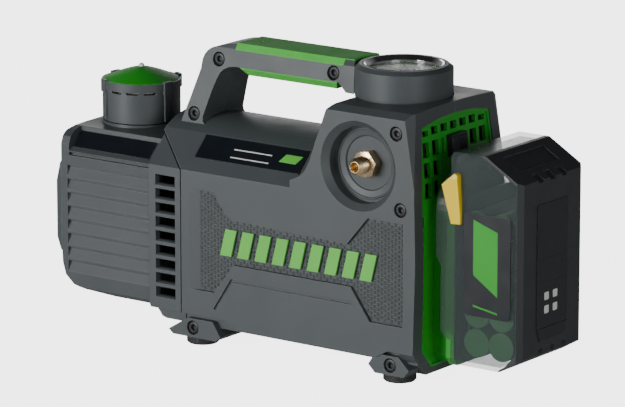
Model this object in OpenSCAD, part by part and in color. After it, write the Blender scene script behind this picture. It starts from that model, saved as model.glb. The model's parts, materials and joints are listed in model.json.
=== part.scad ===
// Cordless two-stage vacuum pump for air-conditioning service, in millimetres.
// +X points to the battery, -Y to the gas inlet, +Z up. The origin is on the ground, under the middle.

/* [Body] */
// Width of the moulded body
body_w = 99; // [97:0.5:101]
// Wall of the moulded body
wall = 4.5; // [4:0.25:5]
// Height of the body's front face
face_top = 114.6; // [113:0.2:116]
// Where the body starts, at the vent collar
body_x0 = -72; // [-73:0.5:-71]
// Where the body ends, at the battery
body_x1 = 109; // [108.5:0.5:109.5]
// Height of the block that carries the gauge
block_top = 173; // [172:0.5:174]

/* [Handle] */
// Width of the handle
handle_w = 32; // [30:1:34]
// Top of the handle
handle_top = 192.4; // [191.5:0.1:193]
// Underside of the handle's bar
bar_low = 177.8; // [177:0.1:178.5]

/* [Inlet] */
// Inlet place along the body
inlet_x = 66.5; // [65:0.5:68]
// Height of the inlet
inlet_z = 135.3; // [134:0.1:136]
// Radius of the inlet recess
recess_r = 24.5; // [24:0.5:25]
// Outside radius of the quarter-inch flare thread
flare_r = 5.55; // [5.5:0.05:5.6]

/* [Gauge] */
// Radius of the gauge's housing
gauge_r = 31; // [30:0.5:32]
// Top of the gauge's housing
gauge_top = 192.4; // [191:0.2:193]
// Radius of the gauge's dial
dial_r = 21; // [20:0.5:22]

/* [Pump] */
// Height of the motor's and pump's common axis
axis_z = 74; // [73:0.5:75]
// Radius of the motor's can
motor_r = 31; // [30:0.5:33]
// Radius of the shaft
shaft_r = 5; // [4.5:0.25:5.5]
// Radial clearance of the shaft in its bearings
fit_gap = 0.04; // [0.02:0.01:0.08]
// Radius of the pump's rotor
rotor_r = 18; // [17:0.5:18.5]
// Radius of the pump's bore
bore_r = 22; // [21.5:0.5:22.5]
// Width of the oil case
case_w = 95; // [94:0.5:96]
// Left end of the oil case
case_x0 = -171.8; // [-172.6:0.2:-171]

/* [Battery] */
// Width of the battery
pack_w = 71; // [70:0.5:72]
// Inner face of the battery
pack_x0 = 127; // [127:0.5:128]
// Outer face of the battery
pack_x1 = 178.2; // [178:0.1:179]
// Underside of the battery
pack_z0 = 16.1; // [15.5:0.1:17]
// Top of the battery
pack_z1 = 150.5; // [149.5:0.5:151.5]

/* [Hidden] */
$fn = 64;
half_w = body_w / 2;
shoulder = 6.6;                     // chamfer above the front face
slope = 14;                         // rise and run of the label slope above the shoulder
hump_top = 143.5;                   // crown of the body
hump_half = half_w - shoulder - slope;
hump_base = face_top + shoulder + slope;
skirt_z = 20.5;                     // lower edge of the front face
floor_z = 13;                       // underside of the body
end_floor_z = 5;                    // underside of the end frame
foot_h = 5;
foot_r = 10.5;
foot_xs = [-64, 90.5];
foot_y = 37.5;
lean_z = 125;                       // the end face leans back above here
lean_top_x = 104.8;                  // where it reaches at the top of the block
lean = atan((body_x1 - lean_top_x) / (block_top - lean_z));
recess_x = 2.2;                     // the grille lies this far inside the end face
plate_t = 3;
plate_back = 5;                     // the end wall's inner face, behind the outer one less the wall
end_wall_x = body_x1 - wall - plate_back;
grille_x = [body_x1 - recess_x - plate_t, body_x1 - recess_x];
collar_x0 = -98;                    // left face of the vent collar
collar_peak = [-100, 133.5];        // where the slanting seam ends
recess_floor = -37;                 // floor of the inlet recess
dial_z = gauge_top - 3.6;
half_pack = pack_w / 2;
cover_x = 175.2;                    // joint of the battery's two shells
pump_x = [-152, -112];              // stator's ends
motor_x = [-58, 30];
motor_ribs_x = [-50, 18];
fan_x = [-95, -80];
bore_drop = bore_r - rotor_r - 0.3; // bore's centre below the rotor's
body_grey = [0.39, 0.42, 0.43];
dark_grey = [0.17, 0.19, 0.2];
green = [0.24, 0.68, 0.24];

// Extrudes a flat (x, z) shape from y0 to y1.
module along_y(y0, y1) {
    translate([0, y1, 0]) rotate([90, 0, 0]) linear_extrude(y1 - y0) children();
}
// Extrudes a flat (y, z) shape from x0 to x1.
module along_x(x0, x1) {
    translate([x0, 0, 0]) rotate([90, 0, 90]) linear_extrude(x1 - x0) children();
}
// Extrudes a flat (x, y) shape from z0 to z1.
module along_z(z0, z1) {
    translate([0, 0, z0]) linear_extrude(z1 - z0) children();
}
// A box between two corners.
module box(low, high) {
    translate(low) cube(high - low);
}
// A rod along X from x0 to x1 on the axis through (y, z).
module rod_x(x0, x1, r, y = 0, z = axis_z) {
    translate([x0, y, z]) rotate([0, 90, 0]) cylinder(r = r, h = x1 - x0);
}
// A rod along Y from y0 to y1 on the axis through (x, z).
module rod_y(y0, y1, r, x, z) {
    translate([x, y1, z]) rotate([90, 0, 0]) cylinder(r = r, h = y1 - y0);
}
// A rod along Z.
module rod_z(z0, z1, r, x = 0, y = 0) {
    translate([x, y, z0]) cylinder(r = r, h = z1 - z0);
}
// A rectangle with round corners.
module rounded(low, high, r) {
    translate([low[0] + r, low[1]]) square([high[0] - low[0] - 2 * r, high[1] - low[1]]);
    translate([low[0], low[1] + r]) square([high[0] - low[0], high[1] - low[1] - 2 * r]);
    for (x = [low[0] + r, high[0] - r], z = [low[1] + r, high[1] - r])
        translate([x, z]) circle(r, $fn = 32);
}
// Points of an arc about c, from angle a0 to a1.
function arc(c, r, a0, a1, n = 8) =
    [for (i = [0:n]) let (a = a0 + (a1 - a0) * i / n) [c[0] + r * cos(a), c[1] + r * sin(a)]];
// Mirrors (y, z) points across y = 0 and joins both sides into one outline.
function both_sides(right) =
    let (last = len(right) - 1, from = abs(right[last][0]) < 0.001 ? last - 1 : last)
    concat(right, [for (i = [from:-1:0]) [-right[i][0], right[i][1]]]);
// Draws the shape and its mirror image behind the middle plane.
module front_and_rear() {
    children();
    mirror([0, 1, 0]) children();
}

// ---- Body shell -----------------------------------------------------------------------------

// Cross-section of the low body, drawn in by t.
function body_section(t) =
    let (h = hump_half - t * 0.4, rise = hump_top - hump_base,
         R = (hump_half * hump_half + rise * rise) / (2 * rise),
         a = asin(h / (R - t)))
    both_sides(concat(
        [[half_w - 5.5 - t, floor_z + t], [half_w - 5.5 - t, skirt_z + t - 1.5],
         [half_w - t, skirt_z + t], [half_w - t, face_top - t * 0.4],
         [half_w - shoulder - t * 0.8, face_top + shoulder - t * 0.7]],
        arc([0, hump_top - R], R - t, 90 - a, 90, 8)));

// Outline of the low body from the front: the seam slants back above the front face.
body_side = [[body_x0, 0], [body_x0, face_top], collar_peak, [collar_peak[0], 150],
             [body_x1 - 1, 150], [body_x1, 120], [body_x1 + 1, 78], [body_x1, 40], [body_x1 - 1, 0]];

// Outline of the gauge block from the front, drawn in by t.
function block_side(t) = concat(
    [[body_x1 - t, 110], [body_x1 - t, 125], [lean_top_x - t, block_top - t]],
    arc([50 + t, block_top - 9 - t], 9, 90, 160, 6),
    [[34 + t, 147], [29.5 + t, 134], [25.5 + t, 126.5], [21 + t, 122.5], [14 + t, 119.5], [14 + t, 110]]);

// Cross-section of the gauge block, drawn in by t.
function block_section(t) = both_sides(
    [[half_w - t, 110], [half_w - t, 168.4 - t * 0.4], [half_w - 6 - t * 0.8, block_top - 1.2 - t * 0.6],
     [20, block_top - 0.2 - t], [0, block_top + 0.2 - t]]);

// Outline of the handle from the front.
handle_side = concat(
    [[-96, 129], [-93.3, 136.5], [-87, 153.9], [-80.2, 173.9]], arc([-67.5, 176.8], 12.4, 172, 100, 6),
    [[-62, 191.2], [-54, handle_top], [48, handle_top], [48, bar_low - 6], [34, bar_low - 5.6],
     [28, bar_low], [-53.5, bar_low], [-58.5, 177], [-62, 175.2], [-64.6, 172.9], [-66.6, 169.5],
     [-70, 161.1], [-75.8, 143.2], [-75.4, 140.4], [-71.9, 137.4], [-66, 134.5], [-66, 129]]);

// The handle's cross-section: flanks that spread towards the body, and two top chamfers.
bar_half = handle_w / 2 - 1;        // at the foot of the chamfers
bar_crease = 189;
flank = 0.145;                      // how much the flanks spread
handle_section = both_sides([[bar_half + flank * (bar_crease - 125), 125], [bar_half, bar_crease],
    [bar_half - 2, handle_top]]);

// Cuts the corner between the front face and the end face, wider towards the top.
module corner_cut() {
    translate([body_x1, -half_w, lean_z]) rotate([0, 0, -26.5]) rotate([0, -8.4, 0])
        translate([0, -60, -70]) cube([40, 120, 150]);
}

module foot_bars() {
    along_y(-half_w + 1, half_w - 1) {
        polygon([[-83.5, 8], [-80, end_floor_z], [-46, end_floor_z], [-42, 8], [-48, 17.5], [-68, 17.5]]);
        polygon([[74, 10], [79, end_floor_z], [101, end_floor_z], [105, 10], [97, 17.5], [79, 17.5]]);
    }
}

module end_frame() {
    along_x(97, body_x1 - 1) polygon(both_sides([[34, end_floor_z], [half_w - 4, 16], [half_w, 22],
        [half_w, 60]]));
}

// A slab parallel to the leaning end face, between two distances from it.
module end_slab(d0, d1) {
    far = 30;
    run = far * tan(lean);
    along_y(-60, 60) polygon([for (d = [d0, d1], k = d == d0 ? [0, 1, 2] : [2, 1, 0])
        [[body_x1 + d, 0], [body_x1 + d, lean_z], [lean_top_x + d - run, block_top + far]][k]]);
}

// Tilts what stands on the leaning part of the end face.
module leaning() {
    translate([body_x1, 0, lean_z]) rotate([0, -lean, 0]) translate([-body_x1, 0, -lean_z]) children();
}

// Belly panels that reach below the skirt, with a slanting left edge.
module belly() {
    front_and_rear()
        along_y(-half_w, -half_w + 5)
            polygon([[-38, 40], [-46, 26.7], [-30, 15.4], [80, 15.4], [92, 22], [92, 40]]);
}

module body_solid() {
    intersection() {
        along_x(collar_peak[0], body_x1 + 1) polygon(body_section(0));
        along_y(-60, 60) polygon(body_side);
    }
    difference() {
        intersection() {
            along_x(0, body_x1 + 1) polygon(block_section(0));
            along_y(-60, 60) polygon(block_side(0));
        }
        front_and_rear() corner_cut();
    }
    intersection() {
        along_x(-100, 48) polygon(handle_section);
        along_y(-60, 60) polygon(handle_side);
    }
    foot_bars();
    end_frame();
    belly();
}

module body_cavity() {
    intersection() {
        along_x(-99, end_wall_x) polygon(body_section(wall));
        along_y(-60, 60) polygon([[body_x0 - 1, 0], [body_x0 - 1, face_top - 2], [-88, 122],
            [-88, 160], [end_wall_x, 160], [end_wall_x, 0]]);
    }
    intersection() {
        along_x(0, body_x1) polygon(block_section(wall));
        along_y(-60, 60) polygon(concat([for (p = block_side(wall)) p[0] > 90 ? p - [plate_back, 0] : p]));
    }
}

// Bow-tie recess for the textured panel, as an (x, z) outline.
bow_tie = [[-66, 103.3], [-46, 103.3], [-42.5, 97], [-37.5, 91.3], [-30.5, 87], [58, 84.5], [74, 103.3],
    [100.7, 103.3], [100.7, 37.3], [75.6, 37.3], [61, 57.6], [-30.3, 57.6], [-46, 37.4], [-66, 37.4]];

panel_depth = 2.4;
screw_places = [[95.2, 159.5, -half_w], [98.6, 111.7, -half_w], [-66.7, 181.2, -16.1],
    [-82.9, 144.6, -21.4], [23.3, 183.2, -15.8],
    [foot_xs[0], 11.3, -half_w + 1], [foot_xs[1], 11.3, -half_w + 1]];
screw_hole_r = 4.7;
screw_depth = 3.2;

// Everything cut out of either half; the front half has the inlet recess as well.
module shell_cuts() {
    body_cavity();
    // textured panel and belly groove
    difference() {
        along_y(-half_w - 1, -half_w + panel_depth) polygon(bow_tie);
        along_z(30, 110) polygon([[-67, -half_w], [-65.9, -half_w], [-58, -half_w + panel_depth],
            [-58, -half_w + 4], [-67, -half_w + 4]]);
    }
    along_y(-half_w - 1, -half_w + 1.4)
        polygon([[-46.6, 26.7], [-32.4, 48.4], [62, 48.4], [62, 46.4], [-31.2, 46.4], [-44.6, 26]]);
    // screws
    for (p = screw_places) rod_y(p[2] - 1, p[2] + screw_depth, screw_hole_r, p[0], p[1]);
    // gauge and its flat seat
    rod_z(block_top - 1.5, 205, gauge_r + 0.3, inlet_x);
    rod_z(150, 180, 12, inlet_x);
    // end opening
    intersection() {
        along_x(90, 120) polygon(grille_outline(0));
        end_slab(-recess_x - plate_t, 10);
    }
    along_x(90, 120) polygon(grille_outline(2.5));
    // grip on top of the handle
    grip_top_shape(0);
    // nothing below the ground line
    box([-200, -60, -1], [200, 60, end_floor_z]);
}

// Ribs that cradle the motor.
module motor_ribs() {
    difference() {
        for (x = motor_ribs_x) intersection() {
            along_x(x, x + 3) polygon(body_section(wall - 0.5));
            box([-100, -60, 0], [100, 0, 108]);
        }
        rod_x(-100, 100, motor_r);
    }
}

module half_shell() {
    difference() {
        intersection() {
            body_solid();
            box([-120, -70, 0], [130, 0, 210]);
        }
        shell_cuts();
    }
    motor_ribs();
}

module front_housing() {
    color(body_grey) difference() {
        half_shell();
        rod_y(-60, -40, recess_r, inlet_x, inlet_z);
        translate([inlet_x, -half_w + 4.1, inlet_z]) rotate([90, 0, 0])
            cylinder(r1 = recess_r, r2 = recess_r + 5.1, h = 5.1);
    }
}

module rear_housing() {
    color(body_grey) mirror([0, 1, 0]) half_shell();
}

// Nine windows on each side let the fan breathe.
vent_count = 9;
vent_pitch = 9.23;
vent_h = 6.1;
vent_top = 108.8;
vent_x = [-92.8, -77];
seam_gap = 0.8;                     // the visible joint between the collar and the body
collar_side = [[collar_x0, 22], [-92, 14], [-78, 10], [body_x0 - seam_gap, 10],
    [body_x0 - seam_gap, face_top - 0.4], [collar_x0, 131.3]];

module vent_collar() {
    color(body_grey) difference() {
        union() {
            intersection() {
                along_x(collar_x0, body_x0) polygon(body_section(0));
                along_y(-60, 60) polygon(collar_side);
            }
            // lip behind the joint
            intersection() {
                along_x(body_x0 - 2, body_x0) polygon(body_section(1.4));
                box([-80, -60, 14], [-60, 60, face_top - 4]);
            }
        }
        along_x(collar_x0 - 1, body_x0 + 1) polygon(body_section(wall));
        front_and_rear() for (i = [0:vent_count - 1]) {
            top = vent_top - i * vent_pitch;
            along_y(-60, -30) polygon([[vent_x[0], top - vent_h], [vent_x[1], top - vent_h],
                [vent_x[1], top], [vent_x[0], top]]);
            along_x(vent_x[0], vent_x[1]) polygon([[-half_w - 1, top - vent_h - 1.5],
                [-half_w + wall, top - vent_h + 1.5], [-half_w - 1, top - vent_h + 1.5]]);
        }
        foot_bars();
    }
}

grip_x = [-53.8, 31];               // the green strips on the chamfers
grip_proud = 0.5;

module grip_top_shape(gap) {
    high = handle_top + grip_proud;
    along_x(grip_x[0] - gap, grip_x[1] + gap) polygon([[-bar_half - grip_proud, bar_crease - 0.4 - gap],
        [-bar_half - grip_proud, bar_crease], [-bar_half + 2, high], [bar_half - 2, high],
        [bar_half + grip_proud, bar_crease], [bar_half + grip_proud, bar_crease - 0.4 - gap],
        [bar_half - 2, bar_crease - 0.4 - gap], [bar_half - 3.5, high - 2.6 - gap],
        [-bar_half + 3.5, high - 2.6 - gap], [-bar_half + 2, bar_crease - 0.4 - gap]]);
    // the top runs on to the gauge
    box([grip_x[1] - 1, -bar_half + 2, high - 1.6 - gap], [40, bar_half - 2, high]);
}

module grip_top() {
    color(green) difference() {
        grip_top_shape(0);
        rod_z(handle_top + grip_proud - 0.9, handle_top + 2, 1.1, -44, -0.5);
        rod_z(180, 200, gauge_r + 0.3, inlet_x);
    }
}

module grip_under() {
    color(green) intersection() {
        along_x(-52, 28) polygon(both_sides([[15.6, bar_low], [15.6, 176.9], [11.8, 172.5]]));
        along_y(-20, 20) polygon([[-50.4, bar_low], [-46, 172.5], [23.4, 172.5], [26.4, bar_low]]);
    }
}

// Textured panels: a plate with fine upright ribs in each bow-tie recess.
module side_panels() {
    color(dark_grey) front_and_rear() difference() {
        along_y(-half_w + panel_depth - 1.1, -half_w + panel_depth) polygon([
            [-58, 103], [-46.2, 103], [-42.7, 96.8], [-37.6, 91], [-30.6, 86.7], [57.9, 84.2],
            [73.8, 103], [100.4, 103],
            [100.4, 37.6], [75.8, 37.6], [61.2, 57.9], [-30.4, 57.9], [-46.1, 37.7], [-58, 37.7]]);
        for (x = [-56:2.6:99]) box([x, -half_w, 30], [x + 0.9, -half_w + panel_depth - 0.6, 110]);
    }
}

// A row of leaning bars, plain trim.
bar_count = 9;
module emblem_bars() {
    color(green) front_and_rear()
        along_y(-half_w + 0.1, -half_w + panel_depth - 1.1) for (i = [0:bar_count - 1])
            translate([-41 + i * 13.6, 0])
                polygon([[0, 63], [8.6, 63], [13, 80.5], [4.4, 80.5]]);
}

// Dark glossy plates on the label slopes.
module shoulder_labels() {
    color([0.12, 0.15, 0.18]) front_and_rear()
        translate([-66, -half_w + shoulder, face_top + shoulder]) rotate([45, 0, 0])
            translate([0, 0.8, 0]) cube([82, 17.6, 0.7]);
}

// ---- Oil case and its cap ------------------------------------------------------------------

gasket_t = 0.8;
case_low = 21;
case_face_top = 111;
seam = [2.5, 2.5];                  // depth and height of the groove above the face
case_slope = case_face_top + seam[1];
case_top = 128.2;
case_crown = 2.2;
case_half = case_w / 2;
rim_x = case_x0 + 6.5;              // right edge of the rounded rim at the free end
groove_count = 8;
groove_pitch = 9.07;
groove_top = 104.2;
groove_h = 7.6;
groove_depth = 2.4;
groove_lip = 1.6;                   // height of the groove's deep part, under its upper edge
groove_x = [case_x0 + 5, collar_x0 - 2];

function case_section(t) = both_sides([[case_half - 3 - t, case_low + t], [case_half - t, case_low + 3 + t],
    [case_half - t, case_slope - t * 0.4], [case_half - 2.6 - t, case_slope + 2.2 - t * 0.4],
    [case_half - 12.2 - t * 0.6, case_slope + 11.7 - t * 0.8], [case_half - 13.2 - t * 0.6, case_top - t],
    [0, case_top + case_crown - t]]);

function case_side(t) = [[case_x0 + t, 45], [case_x0 + 0.4 + t, 38.5], [case_x0 + 2.8 + t, 30.8 + t * 0.4],
    [case_x0 + 9.4 + t * 0.6, 25.1 + t * 0.8], [case_x0 + 18.6 + t * 0.2, 22.8 + t], [-130, case_low + t],
    [collar_x0 - gasket_t, case_low + t], [collar_x0 - gasket_t, 140], [rim_x, 140],
    [rim_x - 1.5, case_top + case_crown - t], [case_x0 + 2 + t, case_top + 0.6 - t],
    [case_x0 + t, case_top - 3 - t]];

// The rounded rim at the free end stands a little proud of the label slope.
function rim_section() = both_sides([[case_half, 108], [case_half, 118], [case_half - 2, 123],
    [case_half - 6, 126.5], [case_half - 12.8, case_top], [20, case_top + 0.8]]);

module case_solid(t) {
    intersection() {
        along_x(case_x0 + t, collar_x0 - gasket_t) polygon(case_section(t));
        along_y(-60, 60) polygon(case_side(t));
    }
}

neck_x = -142.3;
neck_r = 15;
seat_r = 26;
seat_z = case_top + case_crown + 0.2;
glass_z = 64;
drain_z = 33.5;
spot_x = -169.2;                     // the drain plug's seat

module oil_case() {
    color(body_grey) difference() {
        union() {
            case_solid(0);
            intersection() {
                along_x(case_x0, rim_x) polygon(rim_section());
                along_y(-60, 60) polygon(case_side(0));
            }
            rod_z(case_top - 2, seat_z, seat_r, neck_x);
            rod_x(spot_x, -160, 9.5, 0, drain_z);
        }
        difference() {
            case_solid(4);
            rod_z(116, 140, neck_r + 4, neck_x);
        }
        rod_z(110, 140, neck_r, neck_x);
        front_and_rear() {
            box([rim_x, -60, case_face_top], [-90, -case_half + seam[0], case_slope]);
            for (i = [0:groove_count - 1]) translate([0, -case_half, groove_top - i * groove_pitch])
                along_x(groove_x[0], groove_x[1]) polygon([[-1, 0], [groove_depth, 0],
                    [groove_depth, -groove_lip], [0, -groove_h], [-1, -groove_h]]);
        }
        rod_x(-180, -160, 12, 0, glass_z);
        rod_x(-180, -150, 6, 0, drain_z);
        // spot face for the drain plug's seal
        rod_x(-180, spot_x, 9.5, 0, drain_z);
    }
}

module case_gasket() {
    color("black") difference() {
        along_x(collar_x0 - gasket_t, collar_x0) polygon(case_section(0.6));
        along_x(collar_x0 - 2, collar_x0 + 1) polygon(case_section(wall));
    }
}

cover_face_x = -178.3;              // outermost face of the end cover

// Plan of the end cover, with both outer corners cut off.
function cover_plan(h, c) = [[case_x0 + 1, -h], [case_x0 - 1, -h], [cover_face_x, -h + c],
    [cover_face_x, h - c], [case_x0 - 1, h], [case_x0 + 1, h]];

// Bulging cover on the free end, which carries the sight glass.
module end_cover() {
    color(body_grey) difference() {
        intersection() {
            along_x(cover_face_x, case_x0) polygon(both_sides([[case_half - 3, 40], [case_half, 47],
                [case_half, 105], [case_half - 3, 110]]));
            along_y(-60, 60) polygon([[case_x0, 45.8], [cover_face_x, 54.3], [cover_face_x, 92],
                [-175.4, 99], [case_x0, 108]]);
            // its upright corners are eased
            along_z(0, 200) polygon(cover_plan(case_half, 3));
        }
        rod_x(-190, -160, 12, 0, glass_z);
    }
}

module sight_glass() {
    color([0.85, 0.9, 0.8, 0.4]) rod_x(-175.4, -172.4, 11.9, 0, glass_z);
}

module sight_glass_ring() {
    color(dark_grey) difference() {
        rod_x(-177.4, -175.4, 11.9, 0, glass_z);
        rod_x(-180, -170, 8.6, 0, glass_z);
    }
    color(dark_grey) difference() {
        rod_x(-172.4, -167.2, 11.9, 0, glass_z);
        rod_x(-180, -160, 8.6, 0, glass_z);
    }
}

module drain_plug() {
    color("goldenrod") difference() {
        union() {
            rod_x(-171, -158, 5.7, 0, drain_z);
            rod_x(-174.6, spot_x - 1.1, 8, 0, drain_z);
        }
        translate([-175, 0, drain_z]) rotate([0, 90, 0]) cylinder(r = 3.5, h = 3.5, $fn = 6);
    }
}

module drain_seal() {
    color("black") difference() {
        rod_x(spot_x - 1.1, spot_x, 7.8, 0, drain_z);
        rod_x(-175, -160, 6.2, 0, drain_z);
    }
}

module filler_neck() {
    color(dark_grey) difference() {
        union() {
            rod_z(118, seat_z, neck_r, neck_x);
            rod_z(seat_z, 144, neck_r + 2, neck_x);
        }
        rod_z(100, 150, 11, neck_x);
    }
}

module cap_seal() {
    color("black") difference() {
        rod_z(seat_z + 0.05, seat_z + 1.6, 22, neck_x);
        rod_z(120, 150, neck_r + 2.4, neck_x);
    }
}

cap_low = 131.2;
cap_r = 25.4;
cap_rim = 26;
cap_top = 157.2;
rim_z = 151.9;                      // underside of the cap's rim
slot_h = 1.6;
lug_angles = [-120.8, -10.8, 59.2, 169.2];
slot_angles = [-92.3, -65.8, -39.3, 87.7, 114.2, 140.7];
dome_r = 24.8;
dome_h = 8;
knob_r = 2.1;
knob_z = 164.9;

module cap_body() {
    color([0.33, 0.35, 0.36]) difference() {
        union() {
            rod_z(cap_low, cap_top, cap_r, neck_x);
            rod_z(rim_z, cap_top, cap_rim, neck_x);
            for (a = lug_angles) translate([neck_x, 0, 0]) rotate([0, 0, a]) {
                box([cap_r - 2, -2.6, cap_low + 1], [cap_rim + 0.2, 2.6, rim_z]);
                box([cap_r - 2, -3.4, rim_z - 2], [cap_rim + 1, 3.4, cap_top + 1]);
            }
        }
        rod_z(cap_low - 1, 146, neck_r + 2.4, neck_x);
        rod_z(cap_low - 1, seat_z + 1.9, 22.4, neck_x);
        rod_z(148, 154.5, 20.5, neck_x);
        rod_z(154, 160, 22.8, neck_x);
        rod_z(cap_top, 170, dome_r + 0.1, neck_x);
        translate([neck_x, 0, 0]) for (a = slot_angles) rotate([0, 0, a])
            box([17, -4, rim_z - slot_h], [30, 4, rim_z]);
        // thin grooves beside the ribs
        translate([neck_x, 0, 0]) for (a = lug_angles, s = [-1, 1]) rotate([0, 0, a + s * 7.4])
            box([cap_r - 0.7, -0.5, cap_low - 1], [30, 0.5, rim_z - 2]);
    }
}

// Shallow green dome that keeps rain out of the exhaust.
module cap_dome() {
    color(green) difference() {
        translate([neck_x, 0, 0]) rotate_extrude()
            polygon(concat([[0, 154.7], [22.6, 154.7], [22.6, cap_top]], [for (i = [0:8]) let (u = i / 8)
                [dome_r * (1 - u), cap_top + dome_h * (1 - pow(1 - u, 1.35))]]));
        translate([neck_x, 0, knob_z]) sphere(knob_r);
    }
}

module cap_knob() {
    color("white") translate([neck_x, 0, knob_z]) sphere(knob_r);
}

module demister() {
    color("wheat") difference() {
        rod_z(148.1, 154.3, 20, neck_x);
        rod_z(140, 160, 4, neck_x);
    }
}

module case_labels() {
    color([0.12, 0.15, 0.18]) front_and_rear()
        translate([rim_x + 1.5, -case_half + 2.6, case_slope + 2.2]) rotate([44.7, 0, 0])
            translate([0, 0.4, 0]) cube([62, 12.8, 0.6]);
}

// ---- Gauge ----------------------------------------------------------------------------------

module gauge_case() {
    color(body_grey) translate([inlet_x, 0, 0]) rotate_extrude() polygon([
        [6.2, block_top - 1.5], [gauge_r - 0.2, block_top - 1.5], [gauge_r, block_top + 1], [gauge_r, 189.9],
        [28, gauge_top], [26, gauge_top], [26, dial_z - 3], [6.2, dial_z - 3]]);
}

module gauge_bezel() {
    color("silver") translate([inlet_x, 0, 0]) rotate_extrude() polygon([
        [25.9, gauge_top - 0.6], [25.2, gauge_top + 0.2], [24, gauge_top - 0.2], [dial_r + 1, dial_z + 1],
        [dial_r + 1, dial_z - 3], [25.9, dial_z - 3]]);
}

module gauge_dial() {
    color("white") difference() {
        rod_z(dial_z - 2.8, dial_z - 1.4, dial_r + 0.8, inlet_x);
        rod_z(dial_z - 5, dial_z + 1, 1.5, inlet_x);
    }
}

module gauge_needle() {
    color("black") {
        rod_z(dial_z - 6, dial_z - 0.3, 1.2, inlet_x);
        rod_z(dial_z - 1, dial_z - 0.1, 2.6, inlet_x);
        translate([inlet_x, 0, 0]) rotate([0, 0, 215])
            along_z(dial_z - 1, dial_z - 0.5) polygon([[-7, -0.9], [0, -1.1], [15, -0.25], [15, 0.25],
                [0, 1.1], [-7, 0.9]]);
    }
}

module gauge_lens() {
    color([0.9, 0.95, 1, 0.25]) rod_z(dial_z + 0.25, dial_z + 0.98, dial_r + 0.98, inlet_x);
}

module gauge_stem() {
    color("goldenrod") difference() {
        union() {
            rod_z(inlet_z + 12, dial_z - 6.5, 6, inlet_x);
            translate([inlet_x, 0, 157]) cylinder(r = 10, h = 7, $fn = 6);
        }
        rod_z(100, 175, 2, inlet_x);
    }
}

// ---- Inlet ----------------------------------------------------------------------------------

// A dished cup that seals the recess round the fitting.
module inlet_cup() {
    floor_h = -recess_floor;
    color(body_grey) translate([inlet_x, 0, inlet_z]) rotate([90, 0, 0]) rotate_extrude() polygon([
        [7, floor_h - 3], [recess_r + 3, floor_h - 3], [recess_r + 3, 42], [recess_r + 5.5, 42],
        [recess_r + 5.5, half_w - wall], [recess_r, half_w - wall], [recess_r, floor_h + 1.6],
        [22.8, floor_h + 1.6], [22.4, floor_h + 2.3], [21.8, floor_h + 2.3], [21.4, floor_h + 1.6],
        [17.6, floor_h + 1], [16.8, floor_h], [7, floor_h]]);
}

hex_flats = 15.8;
module inlet_fitting() {
    color([0.83, 0.73, 0.57]) difference() {
        union() {
            rod_y(recess_floor, -20, 6.9, inlet_x, inlet_z);
            translate([inlet_x, recess_floor, inlet_z]) rotate([90, 0, 0]) rotate([0, 0, 10])
                cylinder(r = hex_flats / 2 / cos(30), h = 6.2, $fn = 6);
            rod_y(-44.6, -43, 4.7, inlet_x, inlet_z);
            rod_y(-51.2, -44.2, flare_r, inlet_x, inlet_z);
            translate([inlet_x, -51.2, inlet_z]) rotate([90, 0, 0]) cylinder(r1 = flare_r, r2 = 3.6, h = 2);
        }
        rod_y(-60, -10, 2.9, inlet_x, inlet_z);
    }
}

// Block with the check valve and the solenoid; the gauge's stem screws into its top.
module valve_block() {
    color("silver") difference() {
        union() {
            box([inlet_x - 12, -20, inlet_z - 12], [inlet_x + 12, 12, inlet_z + 12]);
            rod_y(12, 34, 9, inlet_x, inlet_z);
        }
        rod_y(-25, 30, 2.9, inlet_x, inlet_z);
        rod_z(inlet_z, inlet_z + 20, 2, inlet_x);
        rod_z(inlet_z - 20, inlet_z, 2, pipe_drop_x);
    }
}

// Copper pipe from the valve block to the pump, with one elbow.
pipe_r = 3.2;
pipe_z = 117;
pipe_bend = 6;
pipe_drop_x = inlet_x - 5;
module suction_pipe() {
    color("peru") {
        rod_z(pipe_z + pipe_bend, inlet_z - 12, pipe_r, pipe_drop_x);
        translate([pipe_drop_x - pipe_bend, 0, pipe_z + pipe_bend]) rotate([90, 0, 0]) rotate([0, 0, 270])
            rotate_extrude(angle = 90) translate([pipe_bend, 0]) circle(pipe_r);
        rod_x(-104, pipe_drop_x - pipe_bend, pipe_r, 0, pipe_z);
    }
}

// ---- Grille, dock and switch ----------------------------------------------------------------

// Outline of the end opening as (y, z) points, drawn in by g.
function grille_outline(g) = both_sides([[29 - g, 9 + g], [39.5 - g, 21 + g], [41 - g, 122],
    [37 - g, 162 - g], [20 - g, 165 - g], [0, 166 - g]]);

column_pitch = 10.25;
window_w = 7.2;
row_spans = [[155.6, 160.6], [142.4, 152], [129.8, 139.2], [117, 126.6]];

module window(y0, y1, span) {
    along_x(85, 125) polygon([[y0, span[0]], [y1, span[0]], [y1, span[1]], [y0, span[1]]]);
}

module grille_windows() {
    for (row = [0:3], c = [-3:3]) {
        y = c * column_pitch;
        drop = abs(c) == 3 && row == 0 ? [0, -1.4] : [0, 0];
        if (row == 0 || abs(c) > 1) window(y - window_w / 2, y + window_w / 2, row_spans[row] + drop);
    }
    for (s = [-1, 1]) window(s * 12.4 - 1.4, s * 12.4 + 1.4, row_spans[1]);
    // slim slots down both edges
    for (s = [-1, 1], z = [24:9.4:106]) window(s * 36.4 - 1, s * 36.4 + 1, [z, z + 7]);
}

module end_grille() {
    color(green) difference() {
        union() {
            intersection() {
                along_x(85, 120) polygon(grille_outline(0.15));
                end_slab(-recess_x - plate_t, -recess_x);
            }
            intersection() {
                along_x(85, 120) difference() {
                    polygon(grille_outline(0.15));
                    polygon(grille_outline(1.6));
                }
                end_slab(-recess_x - 0.1, -recess_x + 1.4);
            }
        }
        grille_windows();
        leaning() box([60, -switch_half + 0.9, switch_z - 5.7], [120, switch_half - 0.9, switch_z + 5.7]);
        box([90, -12, 50], [120, 12, 92]);
    }
}

dock_top = 128.6;
dock_half = 29;
neck_half = 25;
flange_x = 119.4;

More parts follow.
